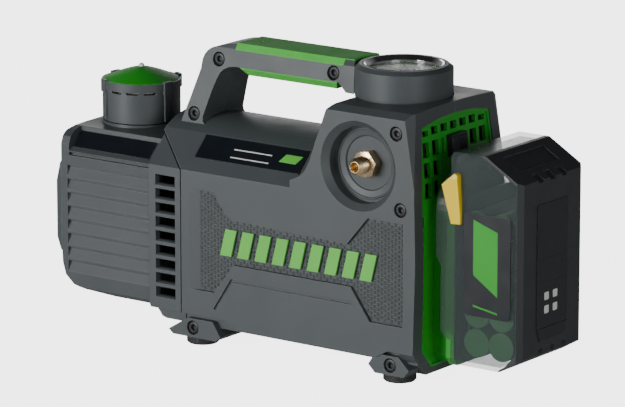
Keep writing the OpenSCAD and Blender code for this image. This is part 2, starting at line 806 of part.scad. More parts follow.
// Outline of the dock from the end, with an arched top.
function dock_outline(h) = both_sides(concat([[h - 4, 12], [h, 17], [h, dock_top - 22]],
    arc([h - 22, dock_top - 22], 22, 0, 90, 8)));

module battery_dock() {
    color(green) difference() {
        union() {
            along_x(grille_x[1], flange_x) polygon(dock_outline(neck_half));
            along_x(flange_x, 125.4) polygon(dock_outline(dock_half));
        }
        // guide channels in the face of the dock, open at the top
        for (s = [-1, 1]) box([123, s * 19 - 2.5, 20], [130, s * 19 + 2.5, 118]);
        // room for the terminal block and its leads
        box([100, -12, 50], [130, 12, 92]);
    }
}

module terminal_block() {
    color("black") box([104, -11.8, 50.2], [125.2, 11.8, 91.8]);
    color("gold") for (y = [-8, -2.7, 2.7, 8]) box([125.2, y - 0.4, 58], [130.6, y + 0.4, 84]);
}

switch_half = 8.4;
switch_z = 146.2;
switch_tall = 7;
switch_proud = 4.4;
rocker_half = switch_half - 2;
rocker_tilt = 7;
switch_x = body_x1 - recess_x * cos(lean) + 0.02;   // the face that the switch clips against
rocker_x = switch_x + 1.3;                          // the rocker's pivot
pin_r = 1.2;

module switch_frame() {
    color(dark_grey) leaning() difference() {
        union() {
            box([switch_x - 14, -switch_half + 1, switch_z - 5.6],
                [switch_x, switch_half - 1, switch_z + 5.6]);
            box([switch_x, -switch_half, switch_z - switch_tall],
                [switch_x + switch_proud, switch_half, switch_z + switch_tall]);
        }
        box([switch_x - 8, -rocker_half - 0.3, switch_z - 5.2], [120, rocker_half + 0.3, switch_z + 5.2]);
        rod_z(switch_z - 6.4, switch_z + 6.4, pin_r + 0.05, rocker_x);
    }
}

// Rocker, tipped to the off side; it turns about an upright pin.
module switch_rocker() {
    color([0.2, 0.21, 0.22]) leaning() translate([rocker_x, 0, 0]) rotate([0, 0, -rocker_tilt]) {
        along_z(switch_z - 4.9, switch_z + 4.9) polygon([[-0.8, -rocker_half + 0.6], [2.6, -rocker_half],
            [3.9, -rocker_half + 0.5], [3, 0], [3.9, rocker_half - 0.5], [2.6, rocker_half],
            [-0.8, rocker_half - 0.6]]);
        along_z(switch_z - 4.6, switch_z + 4.6) polygon([[-3, -3], [0, -3], [0, 3], [-3, 3]]);
        rod_z(switch_z - 6.3, switch_z + 6.3, pin_r);
    }
}

// ---- Battery --------------------------------------------------------------------------------

chamfer_x = 152;                    // where the sloping top begins
chamfer_z = 135;                    // where it ends
slope_tilt = atan((pack_z1 - chamfer_z) / (pack_x1 - chamfer_x));
head_x = 116;
head_z = [77, 134];
pack_corner = [2.8, 4];
heel_x = 163.5;                     // the underside rises from here
heel_z = 24.6;                      // up to this height at the outer face

function pack_side(x0, t) = [[x0 + t, pack_z0 + t], [heel_x - t * 0.3, pack_z0 + t],
    [pack_x1 - t, heel_z + t * 0.6],
    [pack_x1 - t, chamfer_z - t * 0.6], [chamfer_x - t * 0.4, pack_z1 - t], [x0 + 2.5 + t, pack_z1 - t],
    [x0 + t, pack_z1 - 3 - t]];

function pack_plan(t) = let (w = half_pack - t, e = pack_x1 - t, c = pack_corner)
    [[100, -w], [e - c[0], -w], [e, -w + c[1]], [e, w - c[1]], [e - c[0], w], [100, w]];

module pack_solid(t) {
    intersection() {
        along_y(-60, 60) polygon(pack_side(pack_x0, t));
        along_z(0, 200) polygon(pack_plan(t));
    }
}

// The joint between the battery's shells follows the sloping top.
cover_line = [[heel_x - 0.6, 0], [heel_x - 0.6, 17], [168, 20.5], [cover_x, 28.5], [cover_x, 134.7],
    [chamfer_x - 9.5, 154.1], [chamfer_x - 9.5, 200], [220, 200], [220, 0]];
notch_ys = [-13, 0, 13];

module battery_outer() {
    color([0.23, 0.26, 0.27]) difference() {
        intersection() {
            pack_solid(0);
            along_y(-60, 60) polygon(cover_line);
        }
        pack_solid(2.4);
        // inset field on the sloping top and the grip notches below it
        translate([chamfer_x, 0, pack_z1]) rotate([0, slope_tilt, 0]) {
            box([5, -22, -0.8], [19, 22, 2]);
            for (y = notch_ys) box([24, y - 3, -1.4], [34, y + 3, 2]);
        }
        for (y = notch_ys) box([pack_x1 - 1.2, y - 3, 10], [pack_x1 + 1, y + 3, heel_z + 4]);
    }
}

module battery_inner() {
    color([0.38, 0.42, 0.42, 0.6]) difference() {
        union() {
            difference() {
                pack_solid(0);
                along_y(-60, 60) polygon(cover_line);
                pack_solid(2.2);
            }
            intersection() {
                along_x(head_x, pack_x0 + 2.2) difference() {
                    polygon(dock_outline_pack());
                    polygon(both_sides(concat([[dock_half + 0.5, 0], [dock_half + 0.5, dock_top - 21.6]],
                        arc([dock_half - 22, dock_top - 22], 22.5, 0, 90, 8))));
                }
                along_y(-60, 60) polygon([[head_x, head_z[0] + 6], [head_x + 4, head_z[0]],
                    [119.6, 72], [119.6, 36], [123, 32], [pack_x0 + 2, 30], [pack_x0 + 2, pack_z1 - 3],
                    [pack_x0, pack_z1 - 3], [head_x, head_z[1]]]);
            }
            // ribs that run behind the dock's flange
            for (s = [-1, 1]) {
                box([head_x, s > 0 ? neck_half + 0.4 : -dock_half - 0.6, 84],
                    [flange_x - 0.3, s > 0 ? dock_half + 0.6 : -neck_half - 0.4, 104]);
            }
        }
        // channel for the terminals, open at the bottom
        box([pack_x0 - 1, -11, 10], [pack_x0 + 4.4, 11, 92]);
        // pockets for the release buttons
        front_and_rear() along_y(-half_pack - 1, -latch_back + 1.9) polygon(latch_outline(0.35));
    }
}

// Outline of the battery's head, a little wider than the dock.
function dock_outline_pack() = both_sides(concat([[half_pack, 20], [half_pack, 112]],
    arc([half_pack - 22, 112], 22, 0, 80, 8), [[10, pack_z1 - 12]]));

cell_r = 9.1;
module battery_cells() {
    color(green) for (i = [0:4], j = [0:1])
        rod_y(-32.5, 32.5, cell_r, 144.6 + j * 18.3, 31 + i * 18.7);
}

module battery_board() {
    color("darkgreen") box([133.6, -26, 30], [135.2, 26, 122]);
    color("gold") for (y = [-8, -2.7, 2.7, 8], s = [-1, 1])
        box([129.6, y + s * 1.1 - 0.3, 60], [133.6, y + s * 1.1 + 0.3, 82]);
}

// Outline of the release button from the side, grown by g.
function latch_outline(g) = [[122 - g, 129.6 + g * 0.3], [131.4, 137.6 + g * 1.2], [133.6 + g, 136.4 + g],
    [135 + g, 112], [134.8 + g, 105.6 - g], [128 - g, 105.2 - g]];
latch_back = half_pack - 2;

// Wedge-shaped release button, thick at its top.
module latch_wedge() {
    intersection() {
        along_y(latch_back, half_pack + 5) polygon(latch_outline(0));
        along_x(110, 140) polygon([[latch_back, 100], [half_pack + 1.2, 100], [half_pack + 3.6, 134],
            [half_pack + 2.6, 140], [latch_back, 140]]);
    }
}

module latch_front() {
    color("gold") mirror([0, 1, 0]) latch_wedge();
}

module latch_rear() {
    color("gold") latch_wedge();
}

module end_label() {
    color([0.13, 0.16, 0.19]) box([pack_x1, -17, 41.7], [pack_x1 + 0.5, 17, 119.6]);
    color(green) along_x(pack_x1, pack_x1 + 0.6) polygon([[-17, 41], [-13.4, 33], [13.4, 33], [17, 41]]);
}

module pack_labels() {
    color([0.18, 0.23, 0.24]) front_and_rear()
        along_y(-half_pack - 0.5, -half_pack) rounded([136.7, 49], [171.3, 114], 3);
}

// ---- Motor and pump -------------------------------------------------------------------------

module motor_can() {
    color("dimgray") difference() {
        rod_x(motor_x[0], motor_x[1], motor_r);
        rod_x(motor_x[0] + 3, motor_x[1] - 3, motor_r - 2.5);
        rod_x(motor_x[0] - 1, motor_x[1] + 1, 11);
    }
}

module motor_magnets() {
    color("gray") intersection() {
        difference() {
            rod_x(motor_x[0] + 14, motor_x[1] - 14, motor_r - 2.5);
            rod_x(motor_x[0] + 13, motor_x[1] - 13, motor_r - 7.5);
        }
        union() {
            box([-60, -40, axis_z - 20], [40, 40, axis_z + 20]);
        }
    }
}

module armature() {
    color("peru") difference() {
        union() {
            rod_x(motor_x[0] + 16, motor_x[1] - 20, motor_r - 8.2);
            rod_x(motor_x[1] - 16, motor_x[1] - 8, 10);
            rod_x(motor_x[0] + 10, motor_x[1] - 8, 8);
        }
        rod_x(-80, 60, shaft_r);
        for (a = [0:30:330]) translate([0, 0, axis_z]) rotate([a, 0, 0])
            box([motor_x[0] + 12, -1, motor_r - 12], [motor_x[1] - 18, 1, motor_r]);
    }
}

module drive_shaft() {
    color("silver") rod_x(-157, motor_x[1] + 6, shaft_r);
}

module bearings() {
    color("silver") for (x = [motor_x[0] - 1.5, motor_x[1] - 5.5]) difference() {
        rod_x(x, x + 7, 11);
        rod_x(x - 1, x + 8, shaft_r + fit_gap);
    }
}

blade_count = 11;
module cooling_fan() {
    color("black") difference() {
        union() {
            rod_x(fan_x[0], fan_x[1], 11);
            rod_x(fan_x[0], fan_x[0] + 1.6, 38);
            translate([0, 0, axis_z]) for (i = [0:blade_count - 1]) rotate([i * 360 / blade_count, 0, 0])
                box([fan_x[0] + 1, -0.8, 9], [fan_x[1], 0.8, 38]);
        }
        rod_x(-120, 0, shaft_r);
    }
}

module pump_stator() {
    color("slategray") difference() {
        union() {
            rod_x(pump_x[0], pump_x[1], 32);
            box([pump_x[0], -14, axis_z + 20], [pump_x[1], 14, axis_z + 36]);
        }
        rod_x(pump_x[0] - 1, pump_x[1] + 1, bore_r, 0, axis_z - bore_drop);
        rod_z(axis_z + 10, axis_z + 40, 2.5, -132, 8);
    }
}

module pump_flange() {
    color("slategray") difference() {
        union() {
            rod_x(pump_x[1], pump_x[1] + 6, 36);
            along_x(pump_x[1] + 6, collar_x0 - gasket_t) polygon(case_section(4.2));
        }
        rod_x(-130, -80, shaft_r + fit_gap);
        rod_x(-104, -90, pipe_r, 0, pipe_z);
        rod_x(-115, -103, 2, 0, pipe_z - 18);
    }
}

module pump_end_plate() {
    color("slategray") difference() {
        rod_x(pump_x[0] - 6, pump_x[0], 32);
        rod_x(pump_x[0] - 7, pump_x[0] + 1, shaft_r + fit_gap);
    }
}

module pump_rotor() {
    color("lightsteelblue") difference() {
        rod_x(pump_x[0] + 0.3, pump_x[1] - 0.3, rotor_r);
        rod_x(pump_x[0] - 1, pump_x[1] + 1, shaft_r);
        for (s = [-1, 1]) box([pump_x[0] - 1, s > 0 ? 8 : -20, axis_z - 1.6],
            [pump_x[1] + 1, s > 0 ? 20 : -8, axis_z + 1.6]);
    }
}

module vanes() {
    color("brown") for (s = [-1, 1])
        box([pump_x[0] + 0.4, s > 0 ? 8.6 : -17.9, axis_z - 1.5],
            [pump_x[1] - 0.4, s > 0 ? 17.9 : -8.6, axis_z + 1.5]);
}

module exhaust_valve() {
    color("silver") box([-144, -12, axis_z + 36], [-120, 12, axis_z + 36.6]);
    color("silver") rod_z(axis_z + 36.6, axis_z + 39, 3, -121.5, 0);
}

module controller_board() {
    color("darkgreen") box([44, -30, 60], [45.6, 30, 112]);
    color("silver") for (y = [-24:6:24]) box([45.6, y - 1, 64], [58, y + 1, 100]);
    color("black") for (y = [-18, 0, 18]) rod_x(36, 44, 5, y, 104);
}

module housing_screws() {
    color([0.2, 0.21, 0.22]) front_and_rear() for (p = screw_places) difference() {
        rod_y(p[2] + 0.4, p[2] + screw_depth, screw_hole_r - 0.6, p[0], p[1]);
        translate([p[0], p[2] + 2.2, p[1]]) rotate([90, 0, 0]) cylinder(r = 1.7, h = 4, $fn = 6);
    }
}

module rubber_feet() {
    color([0.1, 0.1, 0.1]) for (x = foot_xs, y = [-foot_y, foot_y]) {
        translate([x, y, 0]) cylinder(r1 = foot_r - 1, r2 = foot_r, h = 1);
        rod_z(1, foot_h, foot_r, x, y);
    }
}

front_housing();
rear_housing();
vent_collar();
oil_case();
case_gasket();
end_cover();
sight_glass();
sight_glass_ring();
drain_plug();
drain_seal();
filler_neck();
cap_seal();
cap_body();
cap_dome();
cap_knob();
demister();
grip_top();
grip_under();
side_panels();
emblem_bars();
shoulder_labels();
case_labels();
gauge_case();
gauge_bezel();
gauge_dial();
gauge_needle();
gauge_lens();
gauge_stem();
inlet_cup();
inlet_fitting();
valve_block();
suction_pipe();
end_grille();
battery_dock();
terminal_block();
switch_frame();
switch_rocker();
battery_outer();
battery_inner();
battery_cells();
battery_board();
latch_front();
latch_rear();
end_label();
pack_labels();
motor_can();
motor_magnets();
armature();
drive_shaft();
bearings();
cooling_fan();
pump_stator();
pump_flange();
pump_end_plate();
pump_rotor();
vanes();
exhaust_valve();
controller_board();
housing_screws();
rubber_feet();
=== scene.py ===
import json
import math

import bmesh
import bpy
from mathutils import Matrix, Vector


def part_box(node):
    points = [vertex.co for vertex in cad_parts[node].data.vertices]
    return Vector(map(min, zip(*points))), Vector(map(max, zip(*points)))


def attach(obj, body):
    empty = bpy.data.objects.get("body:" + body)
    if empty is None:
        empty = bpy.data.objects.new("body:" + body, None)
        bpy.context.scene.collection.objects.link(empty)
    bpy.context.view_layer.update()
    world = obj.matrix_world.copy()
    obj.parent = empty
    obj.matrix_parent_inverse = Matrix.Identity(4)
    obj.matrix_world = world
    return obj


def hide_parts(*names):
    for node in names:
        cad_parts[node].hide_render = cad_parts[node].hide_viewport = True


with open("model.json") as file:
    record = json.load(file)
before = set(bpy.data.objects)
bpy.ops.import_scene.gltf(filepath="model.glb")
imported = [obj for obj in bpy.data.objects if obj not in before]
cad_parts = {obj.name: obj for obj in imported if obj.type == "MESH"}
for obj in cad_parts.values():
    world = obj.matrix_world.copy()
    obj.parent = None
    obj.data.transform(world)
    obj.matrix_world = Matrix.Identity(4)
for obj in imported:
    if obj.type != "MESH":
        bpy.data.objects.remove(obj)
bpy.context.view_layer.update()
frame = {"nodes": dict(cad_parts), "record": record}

MM = 0.001
nodes = frame["nodes"]
node_slot = {row["node"]: row["material_slot"] for row in frame["record"]["subparts"]}

# ---- Camera ---------------------------------------------------------------------------------
CAMERA_AZIMUTH = math.radians(36.2)
CAMERA_ELEVATION = math.radians(13.44)
CAMERA_DISTANCE = 2.948
CAMERA_TARGET = Vector((-0.0044, 0.0, 0.0922))
LENS_MM = 266.5
SENSOR_MM = 36.0


def make_camera():
    toward = Vector((math.sin(CAMERA_AZIMUTH) * math.cos(CAMERA_ELEVATION),
                     -math.cos(CAMERA_AZIMUTH) * math.cos(CAMERA_ELEVATION),
                     math.sin(CAMERA_ELEVATION)))
    data = bpy.data.cameras.new("camera")
    data.lens = LENS_MM
    data.sensor_width = SENSOR_MM
    data.clip_start = 0.1
    data.clip_end = 50.0
    camera = bpy.data.objects.new("camera", data)
    bpy.context.scene.collection.objects.link(camera)
    camera.location = CAMERA_TARGET + toward * CAMERA_DISTANCE
    camera.rotation_euler = toward.to_track_quat("Z", "Y").to_euler()
    bpy.context.scene.camera = camera


make_camera()


# ---- Materials ------------------------------------------------------------------------------
class Finish:
    """A procedural surface: tone variation, grain, smudged roughness and paler edges painted as highlights.
    """

    def __init__(self, name, colour, roughness, metallic=0.0):
        self.material = bpy.data.materials.new(name)
        self.material.use_nodes = True
        self.tree = self.material.node_tree
        self.shader = self.tree.nodes["Principled BSDF"]
        self.shader.inputs["Metallic"].default_value = metallic
        self.coordinates = self.add("ShaderNodeTexCoord").outputs["Object"]
        self.colour = colour
        self.roughness = roughness
        self.colour_socket = None
        self.normal = None

    def add(self, kind, **values):
        node = self.tree.nodes.new(kind)
        for key, value in values.items():
            setattr(node, key, value)
        return node

    def link(self, source, target):
        self.tree.links.new(source, target)

    def noise(self, scale, detail=2.0, stretch=None):
        """Noise in object space; the scale is in features per metre."""
        texture = self.add("ShaderNodeTexNoise")
        texture.inputs["Scale"].default_value = scale
        texture.inputs["Detail"].default_value = detail
        if stretch is None:
            self.link(self.coordinates, texture.inputs["Vector"])
        else:
            mapping = self.add("ShaderNodeMapping")
            mapping.inputs["Scale"].default_value = stretch
            self.link(self.coordinates, mapping.inputs["Vector"])
            self.link(mapping.outputs["Vector"], texture.inputs["Vector"])
        return texture.outputs["Fac"]

    def spread(self, source, low, high, start=0.3, end=0.7):
        ramp = self.add("ShaderNodeMapRange")
        ramp.inputs["From Min"].default_value = start
        ramp.inputs["From Max"].default_value = end
        ramp.inputs["To Min"].default_value = low
        ramp.inputs["To Max"].default_value = high
        self.link(source, ramp.inputs["Value"])
        return ramp.outputs["Result"]

    def mix(self, factor, first, second):
        node = self.add("ShaderNodeMix", data_type="RGBA")
        self.link(factor, node.inputs[0])
        for value, socket in ((first, node.inputs[6]), (second, node.inputs[7])):
            if isinstance(value, (tuple, list)):
                socket.default_value = (*value[:3], 1.0)
            else:
                self.link(value, socket)
        return node.outputs[2]

    def tone(self, scale, amount):
        """Drifts the colour a little darker and lighter over the surface."""
        dark = [c * (1 - amount) for c in self.colour]
        light = [min(1.0, c * (1 + amount)) for c in self.colour]
        self.colour_socket = self.mix(self.spread(self.noise(scale, 3.0), 0.0, 1.0), dark, light)

    def speckle(self, scale, colour, share):
        """Tiny specks of a second colour; share is how much of the surface they take."""
        mask = self.spread(self.noise(scale, 1.0), 0.0, 1.0, 0.68 - share, 0.76 - share)
        self.colour_socket = self.mix(mask, self.colour_socket, colour)

    def smudge(self, scale, amount):
        value = self.spread(self.noise(scale, 4.0), self.roughness - amount, self.roughness + amount)
        self.link(value, self.shader.inputs["Roughness"])

    def round_edges(self, radius):
        """Shades sharp edges as if they had a small radius."""
        bevel = self.add("ShaderNodeBevel", samples=6)
        bevel.inputs["Radius"].default_value = radius
        self.normal = bevel.outputs["Normal"]

    def bump(self, source, height, strength=1.0):
        node = self.add("ShaderNodeBump")
        node.inputs["Strength"].default_value = strength
        node.inputs["Distance"].default_value = height
        self.link(source, node.inputs["Height"])
        if self.normal:
            self.link(self.normal, node.inputs["Normal"])
        self.normal = node.outputs["Normal"]

    def worn_edges(self, radius, colour, strength):
        """Paler colour where a wider rounding would bend the surface: a painted highlight along outer
        edges, made patchy by noise.
        """
        bevel = self.add("ShaderNodeBevel", samples=6)
        bevel.inputs["Radius"].default_value = radius
        flat = self.add("ShaderNodeNewGeometry").outputs["Normal"]
        dot = self.add("ShaderNodeVectorMath", operation="DOT_PRODUCT")
        self.link(bevel.outputs["Normal"], dot.inputs[0])
        self.link(flat, dot.inputs[1])
        # Painted highlight mask: strongest where the rounded normal leaves the flat one.
        edge = self.spread(dot.outputs["Value"], strength, 0.0, 0.86, 0.995)
        patchy_highlight = self.add("ShaderNodeMath", operation="MULTIPLY")
        self.link(edge, patchy_highlight.inputs[0])
        self.link(self.spread(self.noise(260, 3.0), 0.35, 1.0, 0.4, 0.6), patchy_highlight.inputs[1])
        self.colour_socket = self.mix(patchy_highlight.outputs[0], self.colour_socket, colour)

    def finish(self):
        self.link(self.colour_socket, self.shader.inputs["Base Color"])
        if self.normal:
            self.link(self.normal, self.shader.inputs["Normal"])
        return self.material


def lighter(colour, amount):
    return [min(1.0, c + (1 - c) * amount) for c in colour]


def moulded(name, colour, roughness, grain=2600, depth=0.00003, edge=0.0005, highlight_strength=0.35, tone=0.05):
    """Moulded plastic with a fine spark-eroded grain."""
    surface = Finish(name, colour, roughness)
    surface.tone(24, tone)
    surface.smudge(55, 0.06)
    # Painted highlight: outer edges are drawn paler than the plastic.
    surface.worn_edges(edge * 1.6, lighter(colour, 0.22), highlight_strength)
    surface.round_edges(edge)
    surface.bump(surface.noise(grain, 2.0), depth)
    return surface.finish()


def painted_casting(name, colour):
    """Satin paint over an aluminium casting, with a slight orange peel."""
    surface = Finish(name, colour, 0.42)
    surface.tone(18, 0.06)
    surface.smudge(40, 0.07)
    # Painted highlight: outer edges are drawn paler than the paint.
    surface.worn_edges(0.0008, lighter(colour, 0.25), 0.4)
    surface.round_edges(0.0007)
    surface.bump(surface.noise(420, 2.0), 0.00008)
    surface.bump(surface.noise(3000, 1.0), 0.00002)
    return surface.finish()


def metal(name, colour, roughness, brushed=None, grain=1800):
    surface = Finish(name, colour, roughness, 1.0)
    surface.tone(60, 0.08)
    surface.smudge(120, 0.08)
    surface.round_edges(0.0002)
    surface.bump(surface.noise(grain, 2.0, brushed), 0.00001)
    return surface.finish()


def rubber(name, colour, roughness=0.72):
    surface = Finish(name, colour, roughness)
    surface.tone(30, 0.07)
    surface.smudge(80, 0.06)
    surface.speckle(1500, lighter(colour, 0.12), 0.05)
    # Painted highlight: outer edges are drawn paler than the rubber.
    surface.worn_edges(0.0008, lighter(colour, 0.2), 0.3)
    surface.round_edges(0.0006)
    surface.bump(surface.noise(2200, 3.0), 0.00004)
    return surface.finish()


def glossy(name, colour, roughness=0.25, tone=0.04, coat=0.3, edge=0.0003):
    surface = Finish(name, colour, roughness)
    surface.tone(35, tone)
    surface.smudge(90, 0.05)
    # Painted highlight: outer edges are drawn paler than the plastic.
    surface.worn_edges(edge * 2, lighter(colour, 0.3), 0.25)
    surface.round_edges(edge)
    surface.bump(surface.noise(900, 2.0), 0.000006)
    surface.shader.inputs["Coat Weight"].default_value = coat
    surface.shader.inputs["Coat Roughness"].default_value = 0.12
    return surface.finish()


def see_through(name, colour, alpha, roughness):
    surface = Finish(name, colour, roughness)
    surface.tone(40, 0.05)
    surface.smudge(70, 0.05)
    surface.bump(surface.noise(700, 2.0), 0.00001)
    surface.shader.inputs["Alpha"].default_value = alpha
    return surface.finish()


def felt(name, colour):
    surface = Finish(name, colour, 0.95)
    surface.tone(120, 0.15)
    surface.smudge(200, 0.03)
    surface.bump(surface.noise(1600, 5.0), 0.0004)
    return surface.finish()


MAKERS = {
    "shell_grey": lambda n: moulded(n, (0.066, 0.077, 0.082), 0.46),
    "case_grey": lambda n: painted_casting(n, (0.056, 0.066, 0.071)),
    "dark_plastic": lambda n: moulded(n, (0.016, 0.019, 0.021), 0.45),
    # The textured panels get a fainter painted edge highlight.
    "panel_texture": lambda n: moulded(n, (0.06, 0.07, 0.074), 0.5, highlight_strength=0.2),
    "label_black": lambda n: glossy(n, (0.006, 0.009, 0.013), 0.35, coat=0.1),
    "soft_green": lambda n: rubber(n, (0.075, 0.5, 0.06)),
    "green_plastic": lambda n: glossy(n, (0.012, 0.36, 0.01), 0.5, coat=0.0, edge=0.0005),
    "letter_green": lambda n: glossy(n, (0.13, 0.56, 0.07), 0.42, coat=0.0),
    "smoke_plastic": lambda n: see_through(n, (0.07, 0.09, 0.092), 0.4, 0.22),
    "pack_dark": lambda n: moulded(n, (0.026, 0.031, 0.034), 0.48),
    "yellow_plastic": lambda n: glossy(n, (1.0, 0.7, 0.02), 0.45, coat=0.15, edge=0.0006),
    "chrome": lambda n: metal(n, (0.78, 0.79, 0.8), 0.12),
    "brass": lambda n: metal(n, (0.78, 0.6, 0.36), 0.3, (1, 8, 1)),
    "copper": lambda n: metal(n, (0.8, 0.42, 0.26), 0.3),
    "steel": lambda n: metal(n, (0.56, 0.57, 0.58), 0.3, (8, 1, 1)),
    "cast_grey": lambda n: metal(n, (0.42, 0.43, 0.44), 0.5, grain=700),
    "iron": lambda n: metal(n, (0.3, 0.3, 0.31), 0.45, grain=900),
    "winding": lambda n: metal(n, (0.45, 0.22, 0.12), 0.4, (1, 12, 12)),
    "dial_white": lambda n: glossy(n, (0.82, 0.84, 0.8), 0.4, coat=0.0),
    "clear_glass": lambda n: see_through(n, (0.9, 0.94, 0.94), 0.12, 0.06),
    "rubber_black": lambda n: rubber(n, (0.018, 0.018, 0.019)),
    "board_green": lambda n: glossy(n, (0.02, 0.16, 0.06), 0.35),
    "cell_wrap": lambda n: glossy(n, (0.1, 0.42, 0.13), 0.35),
    "vane_brown": lambda n: moulded(n, (0.25, 0.13, 0.06), 0.5),
    "white_plastic": lambda n: glossy(n, (0.8, 0.8, 0.78), 0.3),
    "filter_fibre": lambda n: felt(n, (0.72, 0.66, 0.55)),
}
finishes = {row["slot"]: MAKERS[row["slot"]](row["slot"]) for row in frame["record"]["materials"]}


def dress(obj, slot_name):
    obj.data.materials.clear()
    obj.data.materials.append(finishes[slot_name])


for node_name, slot_name in node_slot.items():
    dress(nodes[node_name], slot_name)


# ---- Helpers --------------------------------------------------------------------------------
def smooth_by_angle(mesh, degrees=32):
    for polygon in mesh.polygons:
        polygon.use_smooth = True
    limit = math.radians(degrees)
    shape = bmesh.new()
    shape.from_mesh(mesh)
    for edge in shape.edges:
        edge.smooth = len(edge.link_faces) == 2 and edge.calc_face_angle(0.0) < limit
    shape.to_mesh(mesh)
    shape.free()


def add_bevel(obj, width, segments=3):
    modifier = obj.modifiers.new("edge radius", "BEVEL")
    modifier.width = width
    modifier.segments = segments
    modifier.limit_method = "ANGLE"
    modifier.angle_limit = math.radians(35)
    modifier.harden_normals = True


def add_piece(name, vertices, faces, slot_name, body, replaced=(), bevel=0.0, angle=32):
    """A mesh that rides a body, given in millimetres in the part's frame."""
    mesh = bpy.data.meshes.new(name)
    mesh.from_pydata([Vector(v) * MM for v in vertices], [], faces)
    shape = bmesh.new()
    shape.from_mesh(mesh)
    bmesh.ops.recalc_face_normals(shape, faces=shape.faces)
    shape.to_mesh(mesh)
    shape.free()
    smooth_by_angle(mesh, angle)
    obj = bpy.data.objects.new(name, mesh)
    bpy.context.scene.collection.objects.link(obj)
    dress(obj, slot_name)
    if bevel:
        add_bevel(obj, bevel * MM)
    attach(obj, body)
    if replaced:
        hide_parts(*replaced)
    return obj


class Shape:
    """Gathers vertices and faces of several forms into one mesh."""

    def __init__(self):
        self.vertices = []
        self.faces = []

    def put(self, points, faces, matrix=None):
        start = len(self.vertices)
        self.vertices += [matrix @ Vector(p) if matrix else Vector(p) for p in points]
        self.faces += [[start + i for i in face] for face in faces]

    def prism(self, outline, low, high, matrix=None):
        """An outline in (x, y), from low to high in z."""
        count = len(outline)
        points = [(x, y, low) for x, y in outline] + [(x, y, high) for x, y in outline]
        faces = [list(range(count))[::-1], list(range(count, 2 * count))]
        faces += [[i, (i + 1) % count, count + (i + 1) % count, count + i] for i in range(count)]
        self.put(points, faces, matrix)

    def rings(self, rings, matrix=None, closed=False):
        """Joins rings of equal length; the first and last get a cap unless the form is closed."""
        count = len(rings[0])
        points = [p for ring in rings for p in ring]
        faces = []
        last = len(rings) if closed else len(rings) - 1
        for k in range(last):
            a, b = k * count, (k + 1) % len(rings) * count
            faces += [[a + i, a + (i + 1) % count, b + (i + 1) % count, b + i] for i in range(count)]
        if not closed:
            faces += [list(range(count))[::-1], list(range(last * count, (last + 1) * count))]
        self.put(points, faces, matrix)

    def turned(self, profile, matrix=None, count=64):
        """A form turned about the z axis, from a profile of (radius, height)."""
        self.rings([circle(radius, height, count) for radius, height in profile], matrix)

def circle(radius, height, count=64):
    """A ring about the z axis; radius is a number or a function of the angle."""
    ring = []
    for i in range(count):
        angle = 2 * math.pi * i / count
        r = radius(angle) if callable(radius) else radius
        ring.append((r * math.cos(angle), r * math.sin(angle), height))
    return ring


def hexagon(across_flats, turn=0.0):
    """Radius of a hexagon as a function of the angle."""
    return lambda angle: across_flats / 2 / math.cos((angle - turn) % (math.pi / 3) - math.pi / 6)


def facing_front(centre, side=-1):
    """Turns a form about z so that it points along -Y, or along +Y on the rear side."""
    turn = Matrix.Rotation(math.radians(-90 * side), 4, "X")
    return Matrix.Translation(centre) @ turn


def side_matrix(side, depth=0):
    """Outlines in (x, z) on a side face; heights grow outwards."""
    return Matrix(((1, 0, 0, 0), (0, 0, side, side * depth), (0, 1, 0, 0), (0, 0, 0, 1)))


def round_rectangle(low, high, radius, count=6):
    points = []
    corners = ((high[0] - radius, high[1] - radius), (low[0] + radius, high[1] - radius),
               (low[0] + radius, low[1] + radius), (high[0] - radius, low[1] + radius))
    for quarter, (cx, cz) in enumerate(corners):
        for i in range(count + 1):
            angle = math.radians(quarter * 90 + 90 * i / count)
            points.append((cx + radius * math.cos(angle), cz + radius * math.sin(angle)))
    return points


def box_mm(node):
    low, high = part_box(node)
    return low / MM, high / MM


def islands(node):
    """The box of each separate solid of a CAD node, as (low, high) in millimetres."""
    shape = bmesh.new()
    shape.from_mesh(nodes[node].data)
    bmesh.ops.remove_doubles(shape, verts=shape.verts, dist=1e-6)
    left, boxes = set(shape.verts), []
    while left:
        queue, seen = [left.pop()], []
        while queue:
            vertex = queue.pop()
            seen.append(vertex.co.copy())
            for edge in vertex.link_edges:
                other = edge.other_vert(vertex)
                if other in left:
                    left.discard(other)
                    queue.append(other)
        low = Vector([min(p[i] for p in seen) for i in range(3)]) / MM
        high = Vector([max(p[i] for p in seen) for i in range(3)]) / MM
        boxes.append((low, high))
    shape.free()
    return sorted(boxes, key=lambda b: tuple(round(v, 2) for v in b[0]))


# ---- Rounded edges on CAD nodes that have simple shapes --------------------------------------
EDGE_RADII = {"grip_under": 0.9, "end_cover": 1.2, "latch_front": 0.8, "latch_rear": 0.8,
              "emblem_bars": 0.5, "rubber_feet": 0.6, "terminal_block": 0.4, "drain_plug": 0.3,
              "battery_cells": 0.6, "end_label": 0.15, "case_labels": 0.2, "shoulder_labels": 0.2}
for node_name, radius in EDGE_RADII.items():
    add_bevel(nodes[node_name], radius * MM)


# ---- Socket screws --------------------------------------------------------------------------
SOCKET_FLATS = 3.4


def make_screws():
    shape = Shape()
    socket = hexagon(SOCKET_FLATS)
    for low, high in islands("housing_screws"):
        side = -1 if low.y < 0 else 1
        radius = (high.x - low.x) / 2
        height = high.y - low.y
        inner = high.y if side < 0 else low.y
        place = facing_front(((low.x + high.x) / 2, inner, (low.z + high.z) / 2), side)
        head = [(radius, 0), (radius, height - 0.9), (radius - 0.3, height - 0.3), (radius - 1.0, height)]
        dish = [(radius - 1.7, height - 0.05), (2.3, height - 0.05)]
        recess = [(socket, height - 0.45), (socket, 0.6), (0.2, 0.4)]
        shape.turned(head + dish + recess, place)
    add_piece("socket_screws", shape.vertices, shape.faces, "dark_plastic", "root", ("housing_screws",))


make_screws()


